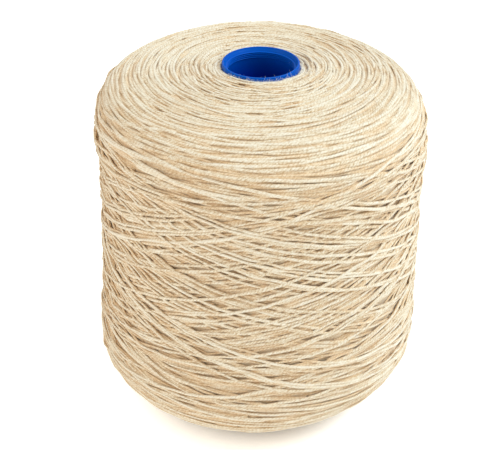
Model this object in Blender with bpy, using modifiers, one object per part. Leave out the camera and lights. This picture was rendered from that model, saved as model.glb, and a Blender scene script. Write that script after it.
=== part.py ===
"""A cone of shetland wool yarn: one cross-wound package on a tapered plastic tube.

The tube stands on its wide foot, with its axis along +Z and the floor at z = 0.
The yarn is one solid. Its surface carries the crossing bands of the winding,
and the whole package leans a little, as a soft winding does.
"""

import math

import bmesh
import bpy
import numpy as np

# Sizes are in metres and angles in degrees, unless a comment says otherwise.

# Cone tube
TUBE_LENGTH = 0.170
TUBE_TAPER = 4.333  # half angle of the cone, four degrees and twenty minutes
NOSE_RADIUS = 0.0169  # outside, at the lip
TUBE_WALL = 0.0014
COLLAR_RADIUS = 0.0152  # inside, in the thick mouth
COLLAR_DEPTH = 0.0050
GRIP_RIDGES = 4  # fine rings inside the collar
GRIP_FIRST_DEPTH = 0.0020
GRIP_PITCH = 0.00075
GRIP_HEIGHT = 0.00015
FOOT_WALL = 0.0024
FOOT_HEIGHT = 0.0040
FOOT_EDGE = 0.0005  # rounding at the foot's two corners
ARC_POINTS = 4
TUBE_STEPS = 48

# Yarn package
BORE_GAP = 0.0003
TOP_EDGE_HEIGHT = 0.1662  # where the yarn meets the tube at the top
BORE_FOOT_HEIGHT = 0.0065  # where it meets the tube at the bottom
STATIONS = (
    # radius, height of the outside, from the crest down to the underside
    (0.0262, 0.1671),
    (0.0420, 0.1670),
    (0.0540, 0.1657),
    (0.0630, 0.1623),
    (0.0690, 0.1566),
    (0.0720, 0.1495),
    (0.0729, 0.1380),
    (0.0728, 0.1180),
    (0.0733, 0.0890),
    (0.0744, 0.0600),
    (0.0755, 0.0420),
    (0.0755, 0.0315),
    (0.0729, 0.0245),
    (0.0656, 0.0158),
    (0.0568, 0.0086),
    (0.0505, 0.0056),
    (0.0440, 0.0050),
)
PACKAGE_STEPS = 72
POINTS_PER_SPAN = 30

# Spacing of the package's rings of points along its outline
SIDE_SPACING = 0.0024
END_SPACING = 0.0052
SIDE_LOW = 0.024
SIDE_HIGH = 0.146

# Lean of the package along X: a slope and a bow about its middle height
LEAN_MIDDLE = 0.080
LEAN_SLOPE = 0.0018
LEAN_BOW = 0.0036
LEAN_BOW_REST = 0.40
LEAN_ROOT = 0.022  # the lean dies away within this distance of the tube

# Crossing bands of the winding
BAND_STARTS = 9  # bands that climb each way round the package
BAND_HEIGHT = 0.0013
BAND_SHARPNESS = 2
UNDER_SHARE = 0.90  # height of the bands that fall, beside those that climb
FINEST_PITCH = 0.0060  # bands closer than this are too fine to raise
OPEN_PITCH = 0.0105  # bands this far apart stand at their full height
WINDING_ANGLES = (
    # height, angle of the bands above level
    (0.010, 2.0),
    (0.040, 4.0),
    (0.060, 9.0),
    (0.078, 16.0),
    (0.125, 16.0),
    (0.140, 8.0),
    (0.150, 3.0),
)
WINDING_RADIUS = 0.0745
UNEVENNESS = 0.00035
SWELLS = (
    # waves round the package, waves up it, phase in turns, share
    (2, 1.3, 0.10, 0.40),
    (3, -2.1, 0.55, 0.35),
    (5, 3.4, 0.80, 0.25),
)

WOOL_COLOUR = (0.66, 0.54, 0.37, 1.0)
WOOL_ROUGHNESS = 0.95
TUBE_COLOUR = (0.006, 0.055, 0.50, 1.0)
TUBE_ROUGHNESS = 0.32


def clear_scene():
    """Removes every object that the file holds."""
    for item in list(bpy.data.objects):
        bpy.data.objects.remove(item, do_unlink=True)


def make_material(name, colour, roughness):
    """A Principled material with one colour and one roughness."""
    material = bpy.data.materials.new(name)
    material.use_nodes = True
    shader = material.node_tree.nodes["Principled BSDF"]
    shader.inputs["Base Color"].default_value = colour
    shader.inputs["Roughness"].default_value = roughness
    shader.inputs["Metallic"].default_value = 0.0
    return material


def smooth_step(value, low, high):
    """0 below low, 1 above high, and an even rise between them."""
    share = np.clip((value - low) / (high - low), 0.0, 1.0)
    return share * share * (3.0 - 2.0 * share)


def arc(centre, radius, start, end):
    """Points of an arc in the (radius, height) plane, both ends included."""
    angles = np.radians(np.linspace(start, end, ARC_POINTS))
    return [(centre[0] + radius * math.cos(a), centre[1] + radius * math.sin(a)) for a in angles]


def mix(first, second, share):
    """The point that lies a share of the way from the first to the second."""
    return first * (1.0 - share) + second * share


def curve_through(stations):
    """A smooth curve through the stations.

    It is a centripetal Catmull-Rom spline, worked out span by span from the two
    stations at each span's ends and their outer neighbours.
    """
    points = np.array(stations)
    points = np.vstack([2 * points[0] - points[1], points, 2 * points[-1] - points[-2]])
    knots = np.concatenate([[0.0], np.cumsum(np.sqrt(np.hypot(*np.diff(points, axis=0).T)))])
    curve = []
    for i in range(1, len(points) - 2):
        p0, p1, p2, p3 = points[i - 1 : i + 3]
        t0, t1, t2, t3 = knots[i - 1 : i + 3]
        t = np.linspace(t1, t2, POINTS_PER_SPAN, endpoint=False)[:, None]
        before = mix(p0, p1, (t - t0) / (t1 - t0))
        within = mix(p1, p2, (t - t1) / (t2 - t1))
        after = mix(p2, p3, (t - t2) / (t3 - t2))
        left = mix(before, within, (t - t0) / (t2 - t0))
        right = mix(within, after, (t - t1) / (t3 - t1))
        curve.append(mix(left, right, (t - t1) / (t2 - t1)))
    curve.append(points[-2:-1])
    return np.vstack(curve)


def tube_outer_radius(height):
    """Outside radius of the tapered tube at a height."""
    return NOSE_RADIUS + (TUBE_LENGTH - height) * math.tan(math.radians(TUBE_TAPER))


def grip_points():
    """The collar's fine rings, from the lowest to the highest, as small beads."""
    points = []
    for ring in reversed(range(GRIP_RIDGES)):
        height = TUBE_LENGTH - GRIP_FIRST_DEPTH - ring * GRIP_PITCH
        points.append((COLLAR_RADIUS, height - GRIP_PITCH / 3))
        points.append((COLLAR_RADIUS - GRIP_HEIGHT, height))
        points.append((COLLAR_RADIUS, height + GRIP_PITCH / 3))
    return points


def tube_outline():
    """Lip, outer wall, foot, inner wall, ledge and ridged collar, as one closed outline."""
    lip = (NOSE_RADIUS - COLLAR_RADIUS) / 2
    lip_centre = (COLLAR_RADIUS + lip, TUBE_LENGTH - lip)
    foot_outer = tube_outer_radius(0.0)
    foot_inner = foot_outer - FOOT_WALL
    step_height = FOOT_HEIGHT + FOOT_WALL
    ledge_height = TUBE_LENGTH - COLLAR_DEPTH
    points = arc(lip_centre, lip, 90, 0)
    points += arc((foot_outer - FOOT_EDGE, FOOT_EDGE), FOOT_EDGE, 0, -90)
    points += arc((foot_inner + FOOT_EDGE, FOOT_EDGE), FOOT_EDGE, -90, -180)
    points.append((foot_inner, FOOT_HEIGHT))
    points.append((tube_outer_radius(step_height) - TUBE_WALL, step_height))
    points.append((tube_outer_radius(ledge_height) - TUBE_WALL, ledge_height))
    points.append((COLLAR_RADIUS, ledge_height))
    points += grip_points()
    points += arc(lip_centre, lip, 180, 90)[:-1]
    return points


def package_outline():
    """The package's outline from its top edge, over dome and side, to the foot of its bore.

    The points stand closer together on the side, where the bands are.
    """
    top_edge = (tube_outer_radius(TOP_EDGE_HEIGHT) + BORE_GAP, TOP_EDGE_HEIGHT)
    bore_foot = (tube_outer_radius(BORE_FOOT_HEIGHT) + BORE_GAP, BORE_FOOT_HEIGHT)
    curve = curve_through((top_edge, *STATIONS, bore_foot))
    on_side = (curve[1:, 1] > SIDE_LOW) & (curve[1:, 1] < SIDE_HIGH)
    spacing = np.where(on_side, SIDE_SPACING, END_SPACING)
    rings = np.cumsum(np.hypot(*np.diff(curve, axis=0).T) / spacing)
    rings = np.concatenate([[0.0], rings])
    stops = np.linspace(0.0, rings[-1], round(rings[-1]) + 1)
    return list(zip(np.interp(stops, rings, curve[:, 0]), np.interp(stops, rings, curve[:, 1])))


def turned_solid(name, outline, steps, collection):
    """Turns a closed (radius, height) outline round Z with a Screw modifier, as a mesh."""
    count = len(outline)
    profile = bpy.data.meshes.new(name + "_profile")
    points = [(radius, 0.0, height) for radius, height in outline]
    edges = [(i, (i + 1) % count) for i in range(count)]
    profile.from_pydata(points, edges, [])
    solid = bpy.data.objects.new(name, profile)
    collection.objects.link(solid)
    screw = solid.modifiers.new("Turn", "SCREW")
    screw.axis = "Z"
    screw.angle = 2 * math.pi
    screw.steps = steps
    screw.render_steps = steps
    screw.use_merge_vertices = True
    screw.merge_threshold = 0.00001
    evaluated = solid.evaluated_get(bpy.context.evaluated_depsgraph_get())
    solid.data = bpy.data.meshes.new_from_object(evaluated)
    solid.modifiers.clear()
    bpy.data.meshes.remove(profile)
    return solid


def turns_and_pitch(heights):
    """Turns that a band has made on its way up to each height, and the bands' spacing there.

    A band at an angle climbs radius times the tangent of that angle in each radian.
    """
    steps = np.linspace(0.0, TUBE_LENGTH, 800)
    table = np.array(WINDING_ANGLES)
    angles = np.radians(np.interp(steps, table[:, 0], table[:, 1]))
    turns_per_metre = 1.0 / (2 * math.pi * WINDING_RADIUS * np.tan(angles))
    total = np.concatenate([[0.0], np.cumsum(turns_per_metre[1:] * np.diff(steps))])
    pitch = 1.0 / (BAND_STARTS * np.interp(heights, steps, turns_per_metre))
    return np.interp(heights, steps, total), pitch


def band_height(around, heights):
    """Height of the crossing bands at points given in turns round the package and metres up.

    Each set of bands is a rounded wave, and where two cross the higher one shows.
    """
    turns, pitch = turns_and_pitch(heights)
    raised = smooth_step(pitch, FINEST_PITCH, OPEN_PITCH)
    climbing = np.cos(math.pi * BAND_STARTS * (around - turns)) ** 2
    falling = np.cos(math.pi * BAND_STARTS * (around + turns)) ** 2
    crossing = np.maximum(climbing**BAND_SHARPNESS, UNDER_SHARE * falling**BAND_SHARPNESS)
    return BAND_HEIGHT * raised * crossing


def swell_height(around, heights):
    """Slow unevenness of a package that was wound under a changing pull."""
    total = np.zeros_like(heights)
    for waves_round, waves_up, phase, share in SWELLS:
        turn = waves_round * around + waves_up * heights / TUBE_LENGTH + phase
        total += share * np.sin(2 * math.pi * turn)
    return UNEVENNESS * total


def lean(heights):
    """Sideways offset of the package's outside at each height."""
    rise = heights / LEAN_MIDDLE - 1.0
    return LEAN_SLOPE * rise - LEAN_BOW * (rise**2 - LEAN_BOW_REST)


def raise_winding(solid):
    """Moves the package's outer points out to the bands, the swells and the lean."""
    shape = bmesh.new()
    shape.from_mesh(solid.data)
    shape.normal_update()
    places = np.array([point.co for point in shape.verts])
    normals = np.array([point.normal for point in shape.verts])
    heights = places[:, 2]
    around = np.arctan2(places[:, 1], places[:, 0]) / (2 * math.pi)
    from_tube = np.hypot(places[:, 0], places[:, 1]) - tube_outer_radius(heights)
    free = smooth_step(from_tube, 2 * BORE_GAP, LEAN_ROOT)
    outward = (band_height(around, heights) + swell_height(around, heights)) * free
    sideways = lean(heights) * free
    places += normals * outward[:, None]
    places[:, 0] += sideways
    for point, place in zip(shape.verts, places):
        point.co = place
    shape.to_mesh(solid.data)
    shape.free()


def finish(solid, material, sharp_angle):
    """Gives a solid its material, and smooth shading that stays sharp where it turns hard."""
    solid.data.materials.append(material)
    solid.data.shade_smooth()
    solid.data.set_sharp_from_angle(angle=math.radians(sharp_angle))


def make_cone_tube(collection):
    """The tapered plastic tube with its ridged mouth and flat foot."""
    tube = turned_solid("cone_tube", tube_outline(), TUBE_STEPS, collection)
    finish(tube, make_material("blue_plastic", TUBE_COLOUR, TUBE_ROUGHNESS), 35)


def make_wound_yarn(collection):
    """The wound yarn as one solid round the tube."""
    yarn = turned_solid("wound_yarn", package_outline(), PACKAGE_STEPS, collection)
    raise_winding(yarn)
    finish(yarn, make_material("shetland_wool", WOOL_COLOUR, WOOL_ROUGHNESS), 60)


def main():
    """Builds the cone of yarn."""
    clear_scene()
    collection = bpy.data.collections.new("wool_yarn_cone")
    bpy.context.scene.collection.children.link(collection)
    make_cone_tube(collection)
    make_wound_yarn(collection)


main()
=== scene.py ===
"""Looks of a cone of shetland wool yarn: the wound yarn strand by strand, and its plastic tube.

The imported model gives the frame. The winding is laid as it is on a real winder: each
strand runs over the ones below it, and only the stretches that still show become meshes.
Lengths are in metres, angles in degrees and places round the package in turns.
"""

from __future__ import annotations

import logging
import math
from dataclasses import dataclass, field
from enum import Enum

import bpy
import numpy as np
from mathutils import Matrix, Vector

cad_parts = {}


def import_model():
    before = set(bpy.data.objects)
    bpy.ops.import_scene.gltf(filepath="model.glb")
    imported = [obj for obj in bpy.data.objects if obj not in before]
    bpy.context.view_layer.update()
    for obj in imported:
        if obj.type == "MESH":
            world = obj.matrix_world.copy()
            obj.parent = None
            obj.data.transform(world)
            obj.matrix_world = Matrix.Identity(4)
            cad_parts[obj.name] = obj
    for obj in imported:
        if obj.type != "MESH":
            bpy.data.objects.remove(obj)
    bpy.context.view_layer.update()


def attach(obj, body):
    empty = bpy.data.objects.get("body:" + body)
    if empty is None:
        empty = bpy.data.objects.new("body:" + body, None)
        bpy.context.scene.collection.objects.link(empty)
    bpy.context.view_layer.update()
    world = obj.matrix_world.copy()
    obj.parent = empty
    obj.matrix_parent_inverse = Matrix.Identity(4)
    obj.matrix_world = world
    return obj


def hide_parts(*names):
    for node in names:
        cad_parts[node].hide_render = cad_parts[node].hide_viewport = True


Array = np.ndarray
Colour = tuple[float, float, float, float]
Socket = bpy.types.NodeSocket
Value = bpy.types.NodeSocket | float

LOG = logging.getLogger("yarn_cone")
BODY = "root"
TUBE_NODE = "cone_tube"
YARN_NODE = "wound_yarn"
TURN = 2 * math.pi


class Slot(Enum):
    """Material slots of the record."""

    WOOL = "shetland_wool"
    PLASTIC = "blue_plastic"


class Zone(Enum):
    """Parts of the winding, each of which becomes pieces of its own."""

    TOP = "winding_top"
    CLIMBING = "winding_climbing"
    FALLING = "winding_falling"
    BOTTOM = "winding_bottom"
    BED = "winding_bed"


def smooth_step(value: Array, low: float, high: float) -> Array:
    """Smooth rise from 0 at low to 1 at high: the cubic 3x^2 - 2x^3 of the clipped share."""
    share = np.clip((value - low) / (high - low), 0.0, 1.0)
    return share * share * (3.0 - 2.0 * share)


def unit(vectors: Array) -> Array:
    """Vectors divided by their own lengths."""
    return vectors / np.maximum(np.linalg.norm(vectors, axis=-1, keepdims=True), 1e-12)


def mix(first: Array | float, second: Array | float, share: Array | float) -> Array:
    """The point that lies a share of the way from the first to the second."""
    return first * (1.0 - share) + second * share


def curve_through(stations: Array, per_span: int = 40) -> Array:
    """Smooth curve through stations, as a centripetal Catmull-Rom spline.

    Each span is blended from its two stations and their outer neighbours, with knots
    spaced by the square root of the distance between stations.

    Args:
        stations: Points as rows.
        per_span: Curve points worked out for each span.

    Returns:
        Points of the curve as rows, the last station included.
    """
    points = np.vstack([2 * stations[0] - stations[1], stations, 2 * stations[-1] - stations[-2]])
    steps = np.sqrt(np.linalg.norm(np.diff(points, axis=0), axis=1))
    knots = np.concatenate([[0.0], np.cumsum(steps)])
    spans = []
    for i in range(1, len(points) - 2):
        p0, p1, p2, p3 = points[i - 1 : i + 3]
        t0, t1, t2, t3 = knots[i - 1 : i + 3]
        t = np.linspace(t1, t2, per_span, endpoint=False)[:, None]
        before = mix(p0, p1, (t - t0) / (t1 - t0))
        within = mix(p1, p2, (t - t1) / (t2 - t1))
        after = mix(p2, p3, (t - t2) / (t3 - t2))
        left = mix(before, within, (t - t0) / (t2 - t0))
        right = mix(within, after, (t - t1) / (t3 - t1))
        spans.append(mix(left, right, (t - t1) / (t2 - t1)))
    spans.append(points[-2:-1])
    return np.vstack(spans)


def make_object(
    name: str,
    points: Array,
    faces: list[Array],
    maps: dict[str, Array] | None = None,
    values: dict[str, Array] | None = None,
) -> bpy.types.Object:
    """Makes a smooth mesh object at the origin.

    Args:
        name: Name of the piece.
        points: Vertices as rows.
        faces: Arrays of vertex numbers, one array for each number of corners.
        maps: UV maps by name, as rows for each face corner in the order of the faces.
        values: Point attributes by name.

    Returns:
        The new object, linked to the scene.
    """
    mesh = bpy.data.meshes.new(name)
    corners = np.concatenate([block.ravel() for block in faces]).astype(np.int32)
    sizes = np.concatenate([np.full(len(block), block.shape[1]) for block in faces])
    starts = np.concatenate([[0], np.cumsum(sizes)[:-1]]).astype(np.int32)
    mesh.vertices.add(len(points))
    mesh.vertices.foreach_set("co", np.asarray(points, np.float32).ravel())
    mesh.loops.add(len(corners))
    mesh.loops.foreach_set("vertex_index", corners)
    mesh.polygons.add(len(sizes))
    mesh.polygons.foreach_set("loop_start", starts)
    mesh.update(calc_edges=True)
    for map_name, places in (maps or {}).items():
        layer = mesh.uv_layers.new(name=map_name)
        layer.data.foreach_set("uv", np.asarray(places, np.float32).ravel())
    for value_name, numbers in (values or {}).items():
        attribute = mesh.attributes.new(value_name, "FLOAT", "POINT")
        attribute.data.foreach_set("value", np.asarray(numbers, np.float32))
    mesh.validate()
    mesh.shade_smooth()
    piece = bpy.data.objects.new(name, mesh)
    bpy.context.scene.collection.objects.link(piece)
    return piece


def grid_faces(rows: int, columns: int, row_closed: bool, column_closed: bool) -> Array:
    """Four-sided faces of a grid of points numbered row by row.

    Args:
        rows: Number of rows of points.
        columns: Number of points in a row.
        row_closed: Whether the last point of a row joins its first.
        column_closed: Whether the last row joins the first.

    Returns:
        Vertex numbers, four in each row.
    """
    down = np.arange(rows if column_closed else rows - 1)[:, None]
    across = np.arange(columns if row_closed else columns - 1)[None, :]
    next_down = (down + 1) % rows
    next_across = (across + 1) % columns
    here = down * columns + across
    right = down * columns + next_across
    below = next_down * columns + across
    far = next_down * columns + next_across
    return np.stack([here, below, far, right], axis=-1).reshape(-1, 4)


@dataclass(frozen=True)
class TubeForm:
    """Sizes of the tapered plastic tube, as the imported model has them."""

    length: float = 0.170
    taper: float = 4.333
    nose_radius: float = 0.0169
    wall: float = 0.0014
    collar_radius: float = 0.0152
    collar_depth: float = 0.0050

    def outer_radius(self, height: Array | float) -> Array:
        """Outside radius at a height: the nose's, growing by the taper on the way down."""
        return self.nose_radius + (self.length - np.asarray(height)) * math.tan(math.radians(self.taper))


@dataclass(frozen=True)
class PackageForm:
    """The package's outside as a surface of two parameters.

    The first is the turn round the axis. The second is the length along the outline,
    from the top edge at the tube, over the dome and down the side, to the foot of the bore.
    """

    tube: TubeForm = field(default_factory=TubeForm)
    bore_gap: float = 0.0003
    top_edge: float = 0.1662
    bore_foot: float = 0.0065
    stations: tuple[tuple[float, float], ...] = (
        (0.0262, 0.1671),
        (0.0420, 0.1670),
        (0.0540, 0.1657),
        (0.0630, 0.1623),
        (0.0690, 0.1566),
        (0.0720, 0.1495),
        (0.0729, 0.1380),
        (0.0728, 0.1180),
        (0.0733, 0.0890),
        (0.0744, 0.0600),
        (0.0755, 0.0420),
        (0.0755, 0.0315),
        (0.0729, 0.0245),
        (0.0656, 0.0158),
        (0.0568, 0.0086),
        (0.0505, 0.0056),
        (0.0440, 0.0050),
    )
    shoulder_height: float = 0.1495
    hip_height: float = 0.0315
    edge_blend: float = 0.012
    lean_middle: float = 0.080
    lean_slope: float = 0.0018
    lean_bow: float = 0.0036
    lean_bow_rest: float = 0.40
    lean_root: float = 0.022
    heap_height: float = 0.0024
    heap_reach: float = 0.011
    heap_turn: float = 0.73
    dip_depth: float = 0.0012
    dip_reach: float = 0.005
    dip_turn: float = 0.07
    dip_spread: float = 0.09
    side_shift: float = -0.0011
    side_middle: float = 0.098
    side_reach: float = 0.036
    unevenness: float = 0.00035
    swells: tuple[tuple[float, float, float, float], ...] = (
        (2, 1.3, 0.10, 0.40),
        (3, -2.1, 0.55, 0.35),
        (5, 3.4, 0.80, 0.25),
    )

    def bore_radius(self, height: Array | float) -> Array:
        """Radius of the hole that the tube fills."""
        return self.tube.outer_radius(height) + self.bore_gap

    def __post_init__(self) -> None:
        """Works out the outline once, as a table by length along it."""
        ends = [(float(self.bore_radius(z)), z) for z in (self.top_edge, self.bore_foot)]
        curve = curve_through(np.array([ends[0], *self.stations, ends[1]]))
        steps = np.hypot(*np.diff(curve, axis=0).T)
        along = np.concatenate([[0.0], np.cumsum(steps)])
        tangent = unit(np.gradient(curve, along, axis=0))
        object.__setattr__(self, "along", along)
        object.__setattr__(self, "radii", curve[:, 0])
        object.__setattr__(self, "heights", curve[:, 1])
        object.__setattr__(self, "out_radial", -tangent[:, 1])
        object.__setattr__(self, "out_up", tangent[:, 0])

    @property
    def length(self) -> float:
        """Length of the whole outline."""
        return float(self.along[-1])

    def radius_at(self, along: Array) -> Array:
        """Radius of the outline at a length along it."""
        return np.interp(along, self.along, self.radii)

    def height_at(self, along: Array) -> Array:
        """Height of the outline at a length along it."""
        return np.interp(along, self.along, self.heights)

    @property
    def shoulder(self) -> float:
        """Length along the outline where the dome ends."""
        return self.along_at_height(self.shoulder_height)

    @property
    def hip(self) -> float:
        """Length along the outline where the bottom starts."""
        return self.along_at_height(self.hip_height)

    def side_share(self, along: Array) -> Array:
        """1 on the side and 0 on the dome and the bottom, with a smooth step at each edge.

        Args:
            along: Length along the outline.

        Returns:
            The share at each length.
        """
        blend = self.edge_blend
        past_shoulder = smooth_step(along, self.shoulder - blend, self.shoulder + blend)
        before_hip = smooth_step(-along, -self.hip - blend, -self.hip + blend)
        return past_shoulder * before_hip

    def along_at_height(self, height: float) -> float:
        """Length along the outline where the side passes a height.

        Args:
            height: The height, between the foot's and the crest's.

        Returns:
            The length along the outline.
        """
        crest = int(np.argmax(self.heights))
        lowest = int(np.argmin(self.heights))
        side = slice(crest, lowest + 1)
        return float(np.interp(-height, -self.heights[side], self.along[side]))

    def outward(self, turns: Array, along: Array) -> Array:
        """Unit vectors that point out of the surface: the outline's normals turned round the axis.

        Args:
            turns: Turns round the axis.
            along: Length along the outline.

        Returns:
            Vectors as rows.
        """
        radial = np.interp(along, self.along, self.out_radial)
        up = np.interp(along, self.along, self.out_up)
        angle = TURN * turns
        return np.stack([radial * np.cos(angle), radial * np.sin(angle), up], axis=-1)

    def beside_tube(self, turns: Array, along: Array) -> Array:
        """Height of the yarn heaped against the tube's front, less a dip at its right.

        The heap is a bell of the length along the outline times a raised cosine of the
        turn, and the dip is a bell of both.

        Args:
            turns: Turns round the axis.
            along: Length along the outline.

        Returns:
            Height above the plain surface.
        """
        front = 0.5 + 0.5 * np.cos(TURN * (turns - self.heap_turn))
        heap = np.exp(-((along / self.heap_reach) ** 2)) * front
        off = (turns - self.dip_turn + 0.5) % 1.0 - 0.5
        dip = np.exp(-((along / self.dip_reach) ** 2) - (off / self.dip_spread) ** 2)
        return self.heap_height * heap - self.dip_depth * dip

    def place(self, turns: Array, along: Array, above: Array | float) -> Array:
        """Points above the surface.

        The outline's point is turned round the axis, moved out along the surface's normal
        by its own height and by the package's slow swells, and then leant sideways.

        Args:
            turns: Turns round the axis.
            along: Length along the outline.
            above: Height above the surface.

        Returns:
            Points as rows.
        """
        radius = self.radius_at(along)
        height = self.height_at(along)
        angle = TURN * turns
        base = np.stack([radius * np.cos(angle), radius * np.sin(angle), height], axis=-1)
        free = smooth_step(radius - self.tube.outer_radius(height), 2 * self.bore_gap, self.lean_root)
        swell = np.zeros_like(height)
        for waves_round, waves_up, phase, share in self.swells:
            wave = waves_round * turns + waves_up * height / self.tube.length + phase
            swell = swell + share * np.sin(TURN * wave)
        rise = height / self.lean_middle - 1.0
        lean = self.lean_slope * rise - self.lean_bow * (rise**2 - self.lean_bow_rest)
        off_middle = (height - self.side_middle) / self.side_reach
        lean = lean + self.side_shift * np.exp(-(off_middle**2))
        lift = above + self.unevenness * swell * free + self.beside_tube(turns, along)
        points = base + self.outward(turns, along) * lift[..., None]
        points[..., 0] += lean * free
        return points


@dataclass(frozen=True)
class YarnForm:
    """One strand's section: an oval, wider than it is high, of a soft two-ply yarn."""

    half_width: float = 0.00061
    half_height: float = 0.00046
    spread: float = 1.20
    sink: float = 0.00018
    softness: dict[Zone, float] = field(
        default_factory=lambda: {
            Zone.TOP: 0.92,
            Zone.BOTTOM: 0.85,
            Zone.BED: 0.85,
            Zone.CLIMBING: 0.68,
            Zone.FALLING: 0.68,
        }
    )
    sides: int = 5
    first_side: float = -30.0
    last_side: float = 210.0

    def section(self) -> tuple[Array, Array]:
        """Works out the yarn's section, flat below and round above.

        Returns:
            The sideways and the upward parts of its points.
        """
        angle = np.radians(np.linspace(self.first_side, self.last_side, self.sides))
        wide = self.half_width * self.spread * np.cos(angle)
        return wide, self.half_height * np.sin(angle)


@dataclass
class Strand:
    """One strand as it lies: a length along the outline and a height at each column of turn."""

    zone: Zone
    first: int
    along: Array
    height: Array
    tone: float
    girth: float


class WindingBed:
    """Height of the yarn laid so far, on a grid of cells round the package and along its outline.

    A strand crosses each column of cells once, so it is a row of lengths along the outline.
    """

    columns: int = 720
    cell: float = 0.00017
    own_bend: float = 1 / 0.028
    pulls: tuple[int, ...] = (24, 12, 6, 3, 1, 12, 4, 1)
    tuck_columns: int = 10
    tuck_depth: float = 0.0016
    level_along: float = 0.0040
    level_around: float = 0.0060
    clearance: float = 0.00016
    margin: int = 3

    def __init__(self, form: PackageForm, yarn: YarnForm) -> None:
        """Starts with a bare bed.

        Args:
            form: The package's surface.
            yarn: The strand's section.
        """
        self.form = form
        self.yarn = yarn
        self.rows = int(form.length / self.cell) + 1
        self.height = np.zeros((self.rows, self.columns), np.float32)
        reach = int(yarn.half_width / self.cell)
        self.offsets = np.arange(-reach, reach + 1)
        across = self.offsets * self.cell / yarn.half_width
        self.crown = yarn.half_height * np.sqrt(np.maximum(1.0 - across**2, 0.0))
        self.strands: list[Strand] = []

    def cells(self, first: int, along: Array) -> tuple[Array, Array]:
        """Cells under a strand.

        Args:
            first: The strand's first column.
            along: Length along the outline at each column.

        Returns:
            Rows and columns of the grid, with one line for each offset across the strand.
        """
        middle = np.rint(along / self.cell).astype(int)
        rows = np.clip(middle[None, :] + self.offsets[:, None], 0, self.rows - 1)
        columns = (first + np.arange(len(along))) % self.columns
        return rows, np.broadcast_to(columns, rows.shape)

    def support(self, first: int, along: Array, softness: float) -> Array:
        """Height at which a strand's middle comes to rest on what lies under it.

        A hard strand would clear the highest spot of its footprint. A soft one gives in
        towards the footprint's mean.

        Args:
            first: The strand's first column.
            along: Length along the outline at each column.
            softness: How far it gives in, from 0 to 1.

        Returns:
            Height of the strand's middle at each column.
        """
        rows, columns = self.cells(first, along)
        under = self.height[rows, columns]
        hard = (under + self.crown[:, None]).max(axis=0)
        soft = under.mean(axis=0) + self.yarn.half_height
        return mix(hard, soft, softness) - self.yarn.sink

    def lie(self, first: int, along: Array, softness: float) -> Array:
        """Height of a strand that is drawn tight over its supports.

        Between two supports it runs straight but for its own bend, which on the curved
        package means that it dips by the distance squared times half the curvature. The
        dips are tried from wide to narrow, and the strand never drops below its support.

        Args:
            first: The strand's first column.
            along: Length along the outline at each column.
            softness: How far the strand gives in to its supports.

        Returns:
            Height of the strand's middle at each column.
        """
        height = self.support(first, along, softness)
        radius = self.form.radius_at(along)
        step = TURN * radius / self.columns
        radial = np.interp(along, self.form.along, self.form.out_radial)
        curvature = np.maximum(radial, 0.0) / radius + self.own_bend
        for reach in self.pulls:
            if len(height) <= 2 * reach:
                continue
            inner = slice(reach, -reach)
            dip = curvature[inner] * (reach * step[inner]) ** 2 / 2
            level = (height[: -2 * reach] + height[2 * reach :]) / 2 - dip
            height[inner] = np.maximum(height[inner], level)
        return height

    def lay(self, zone: Zone, first: int, along: Array, tone: float, girth: float) -> None:
        """Lays a strand on the bed, tucks its ends between its neighbours and raises the bed by it.

        Args:
            zone: Zone that the strand belongs to.
            first: Its first column.
            along: Length along the outline at each column.
            tone: Its own shade, about zero.
            girth: Its own thickness, about one.
        """
        height = self.lie(first, along, self.yarn.softness[zone])
        count = np.arange(len(along))
        near_end = np.minimum(count, count[::-1])
        height = height - self.tuck_depth * (1.0 - smooth_step(near_end, 0, self.tuck_columns))
        rows, columns = self.cells(first, along)
        top = height[None, :] + self.crown[:, None] * girth
        self.height[rows, columns] = np.maximum(self.height[rows, columns], top)
        self.strands.append(Strand(zone, first, along, height, tone, girth))

    def smoothed(self, field: Array, along: float, around: float) -> Array:
        """A field of the grid blurred by a Gaussian, which wraps round the package.

        Args:
            field: One value for each cell.
            along: Standard deviation along the outline, in metres.
            around: Standard deviation round the package, in metres on its side.

        Returns:
            The blurred field.
        """
        pad = int(3 * along / self.cell)
        padded = np.pad(field, ((pad, pad), (0, 0)), mode="reflect")
        across = TURN * float(self.form.radii.max()) / self.columns
        rows = np.fft.fftfreq(padded.shape[0], self.cell)[:, None]
        columns = np.fft.rfftfreq(self.columns, across)[None, :]
        gain = np.exp(-2 * math.pi**2 * ((rows * along) ** 2 + (columns * around) ** 2))
        return np.fft.irfft2(np.fft.rfft2(padded) * gain, s=padded.shape)[pad:-pad]

    def level(self) -> Array:
        """Height of the finished winding without its strands and small hollows, for each cell."""
        return self.smoothed(self.height, self.level_along, self.level_around)

    def at(self, grid: Array, columns: Array, along: Array) -> Array:
        """Values of a grid between its cells, blended from the four nearest.

        Args:
            grid: One value for each cell.
            columns: Columns, with fractions.
            along: Lengths along the outline.

        Returns:
            One value for each place.
        """
        row = np.clip(along / self.cell, 0, self.rows - 1.001)
        low_row = row.astype(int)
        low_column = np.floor(columns).astype(int)
        down = row - low_row
        across = columns - low_column
        near = low_column % self.columns
        far = (low_column + 1) % self.columns
        upper = mix(grid[low_row, near], grid[low_row, far], across)
        lower = mix(grid[low_row + 1, near], grid[low_row + 1, far], across)
        return mix(upper, lower, down)

    def showing(self, strand: Strand) -> Array:
        """Where a strand still shows: the bed over its crown or its flanks is hardly higher than it.

        A few columns beside each spot that shows are kept as well.

        Args:
            strand: The strand.

        Returns:
            One flag for each column of the strand.
        """
        rows, columns = self.cells(strand.first, strand.along)
        top = strand.height[None, :] + self.crown[:, None] * strand.girth
        open_spots = (self.height[rows, columns] - top < self.clearance)[1:-1].any(axis=0)
        kernel = np.ones(2 * self.margin + 1)
        return np.convolve(open_spots, kernel, mode="same") > 0.5


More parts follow.
